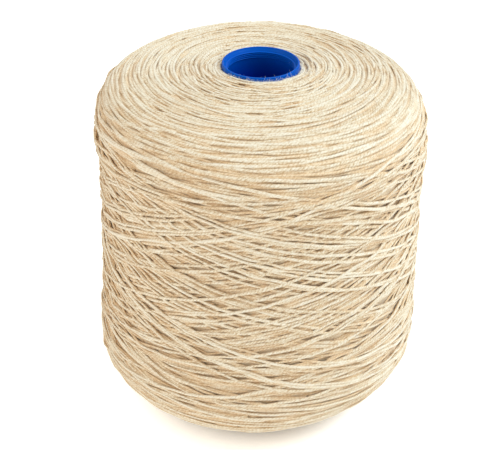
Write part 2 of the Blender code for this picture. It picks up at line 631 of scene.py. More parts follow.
@dataclass
class Winding:
    """Lays the whole winding on a bed, in the order in which a winder lays it.

    The dome and the bottom are laid from the tube outwards, as nearly level rings. The
    side is laid in groups of strands that cross it both ways, and whose slope dies away
    towards both ends. Each strand goes where the bed is low.
    """

    form: PackageForm
    yarn: YarnForm = field(default_factory=YarnForm)
    seed: int = 1707
    bed_rings: int = 330
    top_rings: int = 860
    bottom_rings: int = 420
    fills: int = 620
    under_crossings: int = 120
    over_groups: int = 98
    bed_slope: float = 1.6
    bed_turns: tuple[float, float] = (0.5, 1.0)
    fill_slope: float = 6.0
    fill_turns: tuple[float, float] = (0.10, 0.35)
    fill_margin: float = 0.004
    top_slopes: tuple[float, float] = (3.2, 2.4)
    top_turns: tuple[float, float] = (0.12, 0.42)
    top_past_shoulder: float = 0.010
    bottom_slopes: tuple[float, float] = (1.8, 1.2)
    bottom_turns: tuple[float, float] = (0.30, 0.90)
    bottom_before_hip: float = 0.022
    under_angle: float = 11.0
    under_scatter: float = 2.5
    over_angle: float = 16.5
    over_scatter: float = 1.2
    end_angle: float = 3.5
    start_range: tuple[float, float] = (-0.008, 0.010)
    stop_range: tuple[float, float] = (-0.030, 0.004)
    start_reach: tuple[float, float] = (0.010, 0.020)
    stop_reach: tuple[float, float] = (0.020, 0.040)
    group_shares: tuple[float, ...] = (0.50, 0.28, 0.15, 0.07)
    group_spacing: tuple[float, float] = (0.95, 1.4)
    group_stagger: int = 30
    drift: float = 0.00022
    group_drift: float = 0.00012
    drift_wave: float = 0.09
    drift_power: float = 0.8
    drift_waves: tuple[float, ...] = (0.160, 0.090, 0.050, 0.026, 0.014)
    girth_range: tuple[float, float, float] = (0.06, 0.85, 1.15)
    side_column: float = 0.00065
    hollow_scatter: float = 0.00012
    tries: int = 12
    sectors: int = 48
    coarse_rows: int = 5
    path_stations: int = 700
    shortest_ring: int = 24

    def __post_init__(self) -> None:
        """Starts the bed and the seeded random draws."""
        self.draw = np.random.default_rng(self.seed)
        self.bed = WindingBed(self.form, self.yarn)
        self.climbs = True
        self.shoulder = self.form.shoulder
        self.hip = self.form.hip

    def grown(self, wave: float) -> float:
        """Height of a wave of the drift beside that of the wave that its size is given for."""
        return (wave / self.drift_wave) ** self.drift_power

    def wander(self, count: int, step: float, size: float) -> Array:
        """Slow sideways drift of a strand: sine waves of random phase, the longer ones larger.

        Args:
            count: Number of columns.
            step: Width of a column.
            size: Height of a wave of 90 mm.

        Returns:
            Drift at each column.
        """
        distance = np.arange(count) * step
        drift = np.zeros(count)
        for high, low in zip(self.drift_waves, self.drift_waves[1:]):
            wave = self.draw.uniform(low, high)
            drift += np.sin(TURN * (distance / wave + self.draw.random())) * self.grown(wave)
        return drift * size

    def hollows(self, low: float, high: float, count: int) -> list[tuple[float, int]]:
        """Places where the bed is lowest between two lengths along the outline.

        The bed is averaged over blocks of a few rows and one sector of the package.

        Args:
            low: Shortest length along the outline.
            high: Longest one.
            count: How many places to return.

        Returns:
            A length along the outline and a column for each place.
        """
        first = int(low / self.bed.cell)
        blocks = max(1, int((high - low) / self.bed.cell) // self.coarse_rows)
        part = self.bed.height[first : first + blocks * self.coarse_rows]
        blocks = len(part) // self.coarse_rows
        wide = self.bed.columns // self.sectors
        part = part[: blocks * self.coarse_rows].reshape(blocks, self.coarse_rows, self.sectors, wide)
        mean = part.mean(axis=(1, 3))
        mean += self.draw.uniform(0.0, self.hollow_scatter, mean.shape)
        chosen = np.argpartition(mean.ravel(), count)[:count]
        rows, sectors = np.unravel_index(chosen, mean.shape)
        along = (first + (rows + 0.5) * self.coarse_rows) * self.bed.cell
        return list(zip(along.tolist(), (sectors * wide + wide // 2).tolist()))

    def ring(self, middle: float, slope: float, turns: float) -> Array:
        """A nearly level strand: its length along the outline grows evenly by its slope, with drift.

        Args:
            middle: Length along the outline at its middle.
            slope: Angle above level.
            turns: How far it runs round the package.

        Returns:
            Length along the outline at each column.
        """
        count = max(self.shortest_ring, int(turns * self.bed.columns))
        step = TURN * float(self.form.radius_at(middle)) / self.bed.columns
        distance = (np.arange(count) - count / 2) * step
        along = middle + distance * math.tan(math.radians(slope)) + self.wander(count, step, self.drift)
        return np.clip(along, self.yarn.half_width, self.form.length - self.yarn.half_width)

    def crossing(
        self, top: float, bottom: float, angle: float, top_reach: float, bottom_reach: float
    ) -> Array:
        """A strand that runs down the side.

        Its slope rises from the end angle to its full angle over one reach below its top,
        and falls back over the other above its bottom. In each column it moves down by the
        column's width times the tangent of the slope.

        Args:
            top: Length along the outline where it starts.
            bottom: Length along the outline where it ends.
            angle: Full angle above level.
            top_reach: Length over which the slope rises.
            bottom_reach: Length over which it falls.

        Returns:
            Length along the outline at each column.
        """
        along = np.linspace(top, bottom, self.path_stations)
        share = smooth_step(along, top, top + top_reach)
        share = share * smooth_step(-along, -bottom, -bottom + bottom_reach)
        slope = np.radians(self.end_angle + (angle - self.end_angle) * share)
        columns_per_metre = self.bed.columns / (TURN * self.form.radius_at(along) * np.tan(slope))
        columns = np.concatenate([[0.0], np.cumsum((columns_per_metre[1:] + columns_per_metre[:-1]) / 2)])
        columns[1:] *= along[1] - along[0]
        path = np.interp(np.arange(int(columns[-1])), columns, along)
        step = TURN * float(self.form.radius_at(top)) / self.bed.columns
        return path + self.wander(len(path), step, self.drift)

    def lowest(self, options: list[tuple[int, Array]], every: int = 6) -> tuple[int, Array]:
        """The option that lies lowest on the bed, as a winder's strand slides into a hollow.

        Args:
            options: Possible strands, each as its first column and its lengths along the outline.
            every: Only each so many columns are read.

        Returns:
            The chosen option.
        """
        scores = []
        for first, along in options:
            rows, columns = self.bed.cells(first, along)
            scores.append(float(self.bed.height[rows[:, ::every], columns[:, ::every]].mean()))
        return options[int(np.argmin(scores))]

    def lay_ring(self, zone: Zone, low: float, high: float, slope: float, turns: tuple[float, float]) -> None:
        """Lays one nearly level strand where the bed is low.

        Args:
            zone: Zone that it belongs to.
            low: Shortest length along the outline of its middle.
            high: Longest one.
            slope: Spread of its angle above level.
            turns: Shortest and longest run round the package.
        """
        options = []
        for middle, column in self.hollows(low, high, self.tries):
            path = self.ring(middle, self.draw.normal(0.0, slope), self.draw.uniform(*turns))
            options.append((column - len(path) // 2, path))
        first, along = self.lowest(options)
        self.bed.lay(zone, first % self.bed.columns, along, self.draw.normal(), self.girth())

    def girth(self) -> float:
        """A strand's own thickness beside the yarn's."""
        scatter, low, high = self.girth_range
        return float(np.clip(self.draw.normal(1.0, scatter), low, high))

    def lay_crossing(self, angle: float, members: int) -> None:
        """Lays strands side by side across the side of the package.

        Args:
            angle: Their full angle above level.
            members: How many.
        """
        zone = Zone.CLIMBING if self.climbs else Zone.FALLING
        self.climbs = not self.climbs
        top = self.shoulder + self.draw.uniform(*self.start_range)
        bottom = self.hip + self.draw.uniform(*self.stop_range)
        reaches = self.draw.uniform(*self.start_reach), self.draw.uniform(*self.stop_reach)
        path = self.crossing(top, bottom, angle, *reaches)
        if zone is Zone.CLIMBING:
            path = path[::-1]
        options = [(int(self.draw.integers(self.bed.columns)), path) for _ in range(2 * self.tries)]
        first, along = self.lowest(options)
        spacing = 2 * self.yarn.half_width * self.draw.uniform(*self.group_spacing)
        for member in range(members):
            shifted = along + member * spacing + self.wander(len(along), self.side_column, self.group_drift)
            shift = int(self.draw.integers(-self.group_stagger, self.group_stagger + 1))
            start = (first + shift) % self.bed.columns
            self.bed.lay(zone, start, shifted, self.draw.normal(), self.girth())

    def lay_all(self) -> None:
        """Lays the bed rings, and then rings and crossings in turn, from the tube outwards.

        Each kind of strand has its count and its share of the time, from a start to an end.
        The rings of the dome and the bottom are steeper early on, near the tube.
        """
        edge = self.yarn.half_width
        length = self.form.length
        for _ in range(self.bed_rings):
            self.lay_ring(Zone.BED, edge, length - edge, self.bed_slope, self.bed_turns)
        kinds = (
            (self.top_rings, 0.0, 1.0),
            (self.bottom_rings, 0.0, 1.0),
            (self.under_crossings, 0.0, 0.60),
            (self.over_groups, 0.45, 1.0),
            (self.fills, 0.0, 0.70),
        )
        jobs = np.concatenate([
            np.column_stack([start + (end - start) * self.times(count), np.full(count, kind)])
            for kind, (count, start, end) in enumerate(kinds)
        ])
        for time, kind in jobs[np.argsort(jobs[:, 0])]:
            if kind == 0:
                slope = self.top_slopes[0] + self.top_slopes[1] * (1.0 - time)
                outer = self.shoulder + self.top_past_shoulder
                self.lay_ring(Zone.TOP, 0.0, outer, slope, self.top_turns)
            elif kind == 1:
                slope = self.bottom_slopes[0] + self.bottom_slopes[1] * (1.0 - time)
                inner = self.hip - self.bottom_before_hip
                self.lay_ring(Zone.BOTTOM, inner, length, slope, self.bottom_turns)
            elif kind == 2:
                self.lay_crossing(self.draw.normal(self.under_angle, self.under_scatter), 1)
            elif kind == 3:
                members = int(self.draw.choice(len(self.group_shares), p=self.group_shares)) + 1
                self.lay_crossing(self.draw.normal(self.over_angle, self.over_scatter), members)
            else:
                low = self.shoulder - self.fill_margin
                high = self.hip + self.fill_margin
                self.lay_ring(Zone.BED, low, high, self.fill_slope, self.fill_turns)
        LOG.info("winding: %d strands laid", len(self.bed.strands))

    def times(self, count: int) -> Array:
        """Even times from 0 to 1, a little disordered."""
        return (np.arange(count) + self.draw.uniform(0, 1, count)) / count


@dataclass
class StrandMesh:
    """Turns the stretches of strands that show into closed tubes of one mesh."""

    form: PackageForm
    bed: WindingBed
    level: Array
    spacing: float = 0.0030
    shortest: float = 0.0036
    ceiling: float = 0.0013
    press_side: float = 0.70
    press_ends: float = 0.48
    raise_ends: float = 0.50
    # Painted shade: the depth attribute darkens and warms each spot by how far it lies below its neighbours
    # and how far down the strand's flank it is.
    deep: float = 0.0012
    buried_shade_share: float = 0.6
    painted_flank_shade: float = 0.9
    slubs: tuple[tuple[float, float, float], ...] = ((0.07, 0.0105, 1.0), (0.05, 0.0043, 2.3))
    phase_steps: tuple[float, float] = (0.37, 5.1)
    look_across: tuple[int, ...] = (-10, -5, 0, 5, 10)
    look_beside: tuple[int, ...] = (-3, 0, 3)
    bake_gap: float = 0.0012
    bake_girth: float = 0.0040
    bake_slack: float = 1.25
    bake_margin: float = 0.08
    bake_filled: float = 0.84
    bake_cap: float = 0.3

    def stretches(self, strands: list[Strand]) -> list[tuple[Strand, Array]]:
        """Stretches that show, without the shortest ones.

        Args:
            strands: Strands to look at.

        Returns:
            The strand of each stretch, and the columns at which its tube gets a ring of points.
        """
        found = []
        for strand in strands:
            shows = self.bed.showing(strand).astype(np.int8)
            edges = np.flatnonzero(np.diff(np.concatenate([[0], shows, [0]])))
            for start, stop in zip(edges[::2], edges[1::2]):
                radius = float(self.form.radius_at(strand.along[start]))
                length = (stop - start) * (TURN * radius / self.bed.columns)
                if length >= self.shortest:
                    rings = max(2, round(length / self.spacing) + 1)
                    found.append((strand, np.linspace(start, stop - 1, rings)))
        return found

    def build(self, name: str, strands: list[Strand]) -> bpy.types.Object | None:
        """Builds one piece from strands.

        Each ring of points is the yarn's oval section, set across the strand's direction
        and upright on the package. Its width and height swell and thin along the strand.

        Args:
            name: Name of the piece.
            strands: Strands of the piece.

        Returns:
            The piece, or None where nothing shows.
        """
        stretches = self.stretches(strands)
        if not stretches:
            return None
        counts = np.array([len(columns) for _, columns in stretches])
        run = np.repeat(np.arange(len(counts)), counts)
        first_of_run = np.concatenate([[0], np.cumsum(counts)[:-1]])
        at = np.concatenate([columns for _, columns in stretches])
        along = np.concatenate([np.interp(c, np.arange(len(s.along)), s.along) for s, c in stretches])
        height = np.concatenate([np.interp(c, np.arange(len(s.height)), s.height) for s, c in stretches])
        first = np.repeat([s.first for s, _ in stretches], counts)
        tone = np.repeat([s.tone for s, _ in stretches], counts)
        girth = np.repeat([s.girth for s, _ in stretches], counts)
        turns = (first + at) / self.bed.columns
        above = height - self.bed.at(self.level, first + at, along)
        share = self.form.side_share(along)
        sunk = above * mix(self.press_ends, self.press_side, share)
        raised = above * mix(self.raise_ends, 1.0, share)
        above = np.where(above > 0.0, self.ceiling * np.tanh(raised / self.ceiling), sunk)
        middle = self.form.place(turns, along, above)
        outward = self.form.outward(turns, along)

        index = np.arange(len(run))
        is_first = index == first_of_run[run]
        is_last = index == (first_of_run + counts - 1)[run]
        after = np.where(is_last, index, index + 1) % len(run)
        before = np.where(is_first, index, index - 1)
        tangent = unit(middle[after] - middle[before])
        sideways = unit(np.cross(outward, tangent))
        upward = np.cross(tangent, sideways)

        distance = np.concatenate([[0.0], np.cumsum(np.linalg.norm(np.diff(middle, axis=0), axis=1))])
        distance -= distance[first_of_run][run]
        by_first, by_tone = self.phase_steps
        phase = np.repeat([s.first * by_first + s.tone * by_tone for s, _ in stretches], counts)
        slub = 1.0
        for share, wave, shift in self.slubs:
            slub = slub + share * np.sin(distance / wave + shift * phase)
        wide, tall = self.bed.yarn.section()
        size = (girth * slub)[:, None, None]
        flat = wide[None, :, None] * sideways[:, None, :]
        ring = middle[:, None, :] + size * (flat + tall[None, :, None] * upward[:, None, :])
        sides = len(wide)

        start = index[~is_last]
        around = np.arange(sides)
        next_side = (around + 1) % sides
        quads = np.stack([
            start[:, None] * sides + around,
            start[:, None] * sides + next_side,
            (start[:, None] + 1) * sides + next_side,
            (start[:, None] + 1) * sides + around,
        ], axis=-1)
        head = first_of_run[:, None] * sides + around[::-1]
        tail = (first_of_run + counts - 1)[:, None] * sides + around
        faces = [quads.reshape(-1, 4), head, tail]

        strand_map, bake_map = self.maps(phase, distance, run, start, sides, counts, first_of_run)
        # The depth attribute is a mask of painted shade and painted light for the wool: high where the strand
        # lies buried and on its lower flanks.
        buried = np.clip(self.bed_depth(first + at, along, height) / self.deep, 0.0, 1.0)
        painted_flank_shade = self.painted_flank_shade * (1.0 - tall / tall.max()) / (1.0 - tall.min() / tall.max())
        depth = np.clip(self.buried_shade_share * buried[:, None] + painted_flank_shade[None, :], 0.0, 1.0)
        piece = make_object(
            name,
            ring.reshape(-1, 3),
            faces,
            {"Strand": strand_map, "OFBake": bake_map},
            {"tone": np.repeat(tone, sides), "depth": depth.ravel()},
        )
        LOG.info("%s: %d stretches, %.1f m of yarn", name, len(counts), float(distance[is_last].sum()))
        return piece

    def bed_depth(self, column: Array, along: Array, height: Array) -> Array:
        """How far each spot's crown lies below the highest yarn within a few millimetres of it.

        Args:
            column: Column of each spot, with fractions.
            along: Its length along the outline.
            height: Height of the strand's middle there.

        Returns:
            A depth for each spot.
        """
        columns = np.rint(column).astype(int)
        rows = np.rint(along / self.bed.cell).astype(int)
        highest = np.zeros(len(along))
        for across in self.look_across:
            row = np.clip(rows + across, 0, self.bed.rows - 1)
            for beside in self.look_beside:
                highest = np.maximum(highest, self.bed.height[row, (columns + beside) % self.bed.columns])
        return highest - height - self.bed.yarn.half_height

    def maps(
        self,
        phase: Array,
        distance: Array,
        run: Array,
        start: Array,
        sides: int,
        counts: Array,
        first_of_run: Array,
    ) -> tuple[Array, Array]:
        """Two UV maps for the tubes' faces.

        The strand map has the length along the strand in metres and the share of the way
        round it. The bake map lays all the strands in rows under each other, unrolled and
        at one scale, so that no two faces share a spot.

        Args:
            phase: Offset of the strand map for each ring of points.
            distance: Length along each stretch.
            run: Number of the stretch of each ring of points.
            start: Rings that start a length of tube.
            sides: Points in a ring.
            counts: Rings in each stretch.
            first_of_run: First ring of each stretch.

        Returns:
            The strand map and the bake map, as rows for each face corner.
        """
        gap = self.bake_gap
        marked = distance + phase
        lengths = distance[first_of_run + counts - 1] + 2 * gap
        offset = np.concatenate([[0.0], np.cumsum(lengths)[:-1]])
        place = distance + offset[run] + gap
        row_length = math.sqrt(float(lengths.sum()) * self.bake_girth * self.bake_slack)
        row_length += 3 * self.spacing
        lines = math.ceil(float(lengths.sum()) / row_length) + 1
        width = row_length + 3 * self.spacing

        def spot(where: Array, line: Array, share: Array) -> Array:
            """Corner of the bake map at a length, a line and a share of the line's height."""
            height = (line + self.bake_margin + self.bake_filled * share) / lines
            return np.stack([(where - line * row_length) / width, height], axis=-1)

        around = np.arange(sides)
        low = np.broadcast_to(around / sides, (len(start), sides))
        high = low + 1 / sides
        line = np.broadcast_to(np.floor(place[start] / row_length)[:, None], low.shape)
        baked_corners = []
        strand_corners = []
        for ring, share in ((start, low), (start, high), (start + 1, high), (start + 1, low)):
            baked_corners.append(spot(np.broadcast_to(place[ring][:, None], low.shape), line, share))
            length = np.broadcast_to(marked[ring][:, None], low.shape)
            strand_corners.append(np.stack([length, share], axis=-1))
        baked = np.stack(baked_corners, axis=2)
        strand = np.stack(strand_corners, axis=2)

        cap_baked = []
        cap_strand = []
        fan = np.arange(sides) * (TURN / sides)
        for ring, side in ((first_of_run, -1.0), (first_of_run + counts - 1, 1.0)):
            middle = place[ring] + side * gap * 0.5
            cap_line = np.floor(place[ring] / row_length)
            across = middle[:, None] + gap * self.bake_cap * np.cos(fan)
            share = np.broadcast_to(0.5 + self.bake_cap * np.sin(fan), across.shape)
            cap_baked.append(spot(across, cap_line[:, None] + 0 * across, share).reshape(-1, 2))
            flat = np.stack([marked[ring], np.full_like(middle, 0.5)], axis=-1)
            cap_strand.append(np.repeat(flat, sides, axis=0))
        return (
            np.concatenate([strand.reshape(-1, 2), *cap_strand]),
            np.concatenate([baked.reshape(-1, 2), *cap_baked]),
        )


@dataclass
class Core:
    """The winding below the strands that show: one closed body round the tube."""

    form: PackageForm
    columns: int = 180
    rows: int = 150
    below_side: float = 0.00085
    below_ends: float = 0.00045
    # painted shade and painted light: this depth value darkens and warms the whole core as buried yarn
    depth: float = 0.5
    pattern: tuple[float, float] = (0.07 * TURN, 160.0)

    def build(self) -> bpy.types.Object:
        """Builds the core: the package's surface, lowered by the depth of its hollows.

        Near the tube it is pushed out to the bore, whose wall closes it.

        Returns:
            The piece.
        """
        along = np.linspace(0.0, self.form.length, self.rows)
        turn_grid, along_grid = np.meshgrid(np.arange(self.columns) / self.columns, along)
        below = mix(self.below_ends, self.below_side, self.form.side_share(along_grid))
        points = self.form.place(turn_grid, along_grid, -below)
        radius = np.hypot(points[..., 0], points[..., 1])
        least = self.form.bore_radius(points[..., 2])
        push = np.maximum(least / radius, 1.0)
        points[..., :2] *= push[..., None]
        faces = grid_faces(self.rows, self.columns, row_closed=True, column_closed=True)
        down = np.repeat(np.arange(self.rows), self.columns)
        across = np.tile(np.arange(self.columns), self.rows)
        corner_u = np.stack([across, across, across + 1, across + 1], axis=-1) / self.columns
        corner_v = np.stack([down, down + 1, down + 1, down], axis=-1) / self.rows
        unrolled = np.stack([corner_u, corner_v], axis=-1).reshape(-1, 2)
        wound = unrolled * np.array(self.pattern)
        count = self.rows * self.columns
        return make_object(
            "winding_core",
            points.reshape(-1, 3),
            [faces],
            {"Strand": wound, "OFBake": unrolled},
            {"tone": np.zeros(count), "depth": np.full(count, self.depth)},
        )


@dataclass
class Fuzz:
    """Loose wool fibres that stand out of the strands, with more of them at the tube's front."""

    form: PackageForm
    bed: WindingBed
    level: Array
    count: int = 8600
    rim_count: int = 460
    longest: float = 0.0042
    length_shape: float = 3.0
    length_scale: float = 0.0008
    rise: tuple[float, float] = (0.2, 0.9)
    lean: float = 0.6
    curl_outward: float = 0.15
    curl_share: float = 0.45
    tip_thinner: float = 0.75
    corners: tuple[float, ...] = (90.0, 210.0, 330.0)
    radius: float = 0.000022
    rings: int = 4
    lowest: float = 0.0010
    root_depth: float = 0.00008
    rim_reach: float = 0.004
    rim_turn: float = 0.75
    rim_spread: float = 0.13
    rim_extra: float = 1.5
    rim_shorter: float = 0.35
    rim_lean: float = 1.3
    seed: int = 61

    def build(self) -> bpy.types.Object:
        """Builds the fibres as thin closed spikes with three sides.

        Each starts in the crown of a spot of the winding's surface, and curls: its
        direction turns evenly from mostly sideways towards a drawn second direction. Those
        at the rim lean inwards over it and are thicker. Any that come near the floor are
        left out.

        Returns:
            The piece.
        """
        draw = np.random.default_rng(self.seed)
        rows = np.arange(self.bed.rows) * self.bed.cell
        weight = self.form.radius_at(rows)
        along = draw.choice(rows, self.count, p=weight / weight.sum())
        column = draw.integers(0, self.bed.columns, self.count)
        along = np.concatenate([along, draw.uniform(0.0, self.rim_reach, self.rim_count)])
        front = draw.normal(self.rim_turn, self.rim_spread, self.rim_count) * self.bed.columns
        column = np.concatenate([column, np.rint(front).astype(int) % self.bed.columns])
        total = self.count + self.rim_count
        at_rim = np.repeat([0.0, 1.0], [self.count, self.rim_count])
        row = np.rint(along / self.bed.cell).astype(int)
        surface = self.bed.height[row, column] - self.level[row, column] - self.root_depth
        turns = column / self.bed.columns
        root = self.form.place(turns, along, surface)
        outward = self.form.outward(turns, along)
        angle = TURN * turns
        around = np.stack([-np.sin(angle), np.cos(angle), np.zeros_like(angle)], axis=-1)
        across = np.cross(outward, around)
        length = np.minimum(draw.gamma(self.length_shape, self.length_scale, total), self.longest)
        length = length * (1.0 - self.rim_shorter * at_rim)
        start = unit(
            outward * draw.uniform(*self.rise, total)[:, None]
            + around * draw.normal(0.0, 1.0, total)[:, None]
            + across * (draw.normal(0.0, self.lean, total) + self.rim_lean * at_rim)[:, None]
        )
        curl = unit(draw.normal(0.0, 1.0, (total, 3))) + outward * self.curl_outward
        share = np.linspace(0.0, 1.0, self.rings)
        path = root[:, None, :] + length[:, None, None] * (
            start[:, None, :] * share[None, :, None]
            + curl[:, None, :] * (share**2)[None, :, None] * self.curl_share
        )
        kept = path[..., 2].min(axis=1) > self.lowest
        path = path[kept]
        thickness = self.radius * (1.0 + self.rim_extra * at_rim[kept])
        count = len(path)
        tangent = unit(np.gradient(path, axis=1))
        side = unit(np.cross(tangent, unit(draw.normal(0.0, 1.0, (count, 3)))[:, None, :]))
        other = np.cross(tangent, side)
        taper = thickness[:, None] * (1.0 - self.tip_thinner * share)
        corner = np.radians(self.corners)
        ring = path[:, :, None, :] + taper[:, :, None, None] * (
            np.cos(corner)[None, None, :, None] * side[:, :, None, :]
            + np.sin(corner)[None, None, :, None] * other[:, :, None, :]
        )
        block = self.rings * 3
        level_index, side_index = np.meshgrid(np.arange(self.rings - 1), np.arange(3), indexing="ij")
        here = level_index * 3 + side_index
        beside = level_index * 3 + (side_index + 1) % 3
        one = np.stack([here, beside, beside + 3, here + 3], axis=-1).reshape(-1, 4)
        ends = np.array([[0, 2, 1], [block - 3, block - 2, block - 1]])
        first = (np.arange(count) * block)[:, None, None]
        quads = (first + one[None]).reshape(-1, 4)
        tips = (first + ends[None]).reshape(-1, 3)
        return make_object("loose_fibres", ring.reshape(-1, 3), [quads, tips])


class NodeMaker:
    """Short way to add nodes to a tree and join them."""

    def __init__(self, tree: bpy.types.NodeTree) -> None:
        """Keeps the tree."""
        self.tree = tree

    def add(self, kind: str, label: str = "", **settings: object) -> bpy.types.Node:
        """Adds a node and sets its properties.

        Args:
            kind: Blender's name of the node.
            label: Plain words on what it is for.
            **settings: Properties by name.

        Returns:
            The node.
        """
        node = self.tree.nodes.new(kind)
        node.label = label
        for name, value in settings.items():
            setattr(node, name, value)
        return node

    def join(self, source: Socket, target: Socket) -> None:
        """Links one socket to another."""
        self.tree.links.new(source, target)

    def feed(self, node: bpy.types.Node, values: dict[str | int, object]) -> None:
        """Feeds sockets of a node, each from another socket or with a value of its own.

        Args:
            node: The node.
            values: Sources by the name or the number of the node's socket.
        """
        for key, source in values.items():
            if isinstance(source, bpy.types.NodeSocket):
                self.join(source, node.inputs[key])
            else:
                node.inputs[key].default_value = source

    def math(self, operation: str, first: Value, second: Value = 0.0, third: Value = 0.0) -> Socket:
        """Adds a Math node.

        Args:
            operation: Blender's name of the operation.
            first: First operand.
            second: Second operand, where the operation has one.
            third: Third operand, where the operation has one.

        Returns:
            The node's result.
        """
        node = self.add("ShaderNodeMath", operation=operation)
        self.feed(node, dict(enumerate((first, second, third))))
        return node.outputs[0]

    def noise(self, label: str, place: Socket, scale: float, detail: float = 2.0) -> Socket:
        """Adds a noise texture.

        Args:
            label: What it is for.
            place: Coordinates that it reads.
            scale: Waves in a metre.
            detail: Finer layers added to it.

        Returns:
            The noise's value.
        """
        node = self.add("ShaderNodeTexNoise", label)
        self.feed(node, {"Vector": place, "Scale": scale, "Detail": detail})
        return node.outputs[0]

    def blend(self, label: str, first: Socket | Colour, second: Socket | Colour, share: Socket) -> Socket:
        """Adds a mix of two colours.

        Args:
            label: What it is for.
            first: Colour at a share of 0.
            second: Colour at a share of 1.
            share: How far the mix has gone from the first to the second.

        Returns:
            The mixed colour.
        """
        node = self.add("ShaderNodeMix", label, data_type="RGBA")
        self.feed(node, {0: share, 6: first, 7: second})
        return node.outputs[2]

    def bump(self, height: Socket, strength: float, distance: float) -> Socket:
        """Adds a Bump node.

        Args:
            height: Height of the surface.
            strength: Share of it that shows.
            distance: Height in metres of a value of 1.

        Returns:
            The bent normal.
        """
        node = self.add("ShaderNodeBump")
        self.feed(node, {"Height": height, "Strength": strength, "Distance": distance})
        return node.outputs["Normal"]


def new_material(name: str) -> tuple[bpy.types.Material, NodeMaker, bpy.types.Node]:
    """Makes a material with nodes.

    Args:
        name: Its name.

    Returns:
        The material, a maker for its nodes and its Principled BSDF.
    """
    material = bpy.data.materials.new(name)
    material.use_nodes = True
    return material, NodeMaker(material.node_tree), material.node_tree.nodes["Principled BSDF"]


class YarnTwistGroup:
    """Node group for the plies and fibres of a twisted yarn.

    Its map has the length along the strand in metres and the share of the way round it.
    The plies are a rounded wave on the sum of turns made by the twist and that share.
    The fibres are noise drawn out along the plies.
    """

    name = "Yarn twist"
    fibre_waves = 260.0
    fibre_rows = 13.0
    fibre_roughness = 0.65
    rounding = 0.6
    ply_height = 0.65
    fibre_height = 0.5

    @classmethod
    def tree(cls) -> bpy.types.NodeTree:
        """Builds the group once.

        Returns:
            The group's tree.
        """
        made = bpy.data.node_groups.get(cls.name)
        if made:
            return made
        tree = bpy.data.node_groups.new(cls.name, "ShaderNodeTree")
        tree.interface.new_socket("Map", in_out="INPUT", socket_type="NodeSocketVector")
        for name in ("Lay", "Plies"):
            tree.interface.new_socket(name, in_out="INPUT", socket_type="NodeSocketFloat")
        for name in ("Ply", "Fibre", "Height"):
            tree.interface.new_socket(name, in_out="OUTPUT", socket_type="NodeSocketFloat")
        make = NodeMaker(tree)
        given = make.add("NodeGroupInput")
        out = make.add("NodeGroupOutput")
        parts = make.add("ShaderNodeSeparateXYZ", "length and share round")
        make.join(given.outputs["Map"], parts.inputs[0])
        turned = make.math("DIVIDE", parts.outputs["X"], given.outputs["Lay"])
        wound = make.math("ADD", turned, parts.outputs["Y"])
        angle = make.math("MULTIPLY", make.math("MULTIPLY", wound, given.outputs["Plies"]), math.pi)
        ply = make.math("ABSOLUTE", make.math("SINE", angle))
        rounded = make.math("POWER", ply, cls.rounding)
        drawn = make.add("ShaderNodeCombineXYZ", "drawn along the ply")
        lengthways = make.math("MULTIPLY", parts.outputs["X"], cls.fibre_waves)
        make.feed(drawn, {"X": lengthways, "Y": make.math("MULTIPLY", wound, cls.fibre_rows)})
        streaks = make.add("ShaderNodeTexNoise", "fibres", noise_dimensions="2D")
        make.feed(streaks, {
            "Vector": drawn.outputs[0],
            "Scale": 1.0,
            "Detail": 3.0,
            "Roughness": cls.fibre_roughness,
        })
        fibre = streaks.outputs[0]
        ply_height = make.math("MULTIPLY", rounded, cls.ply_height)
        height = make.math("ADD", ply_height, make.math("MULTIPLY", fibre, cls.fibre_height))
        make.feed(out, {"Ply": rounded, "Fibre": fibre, "Height": height})
        return tree


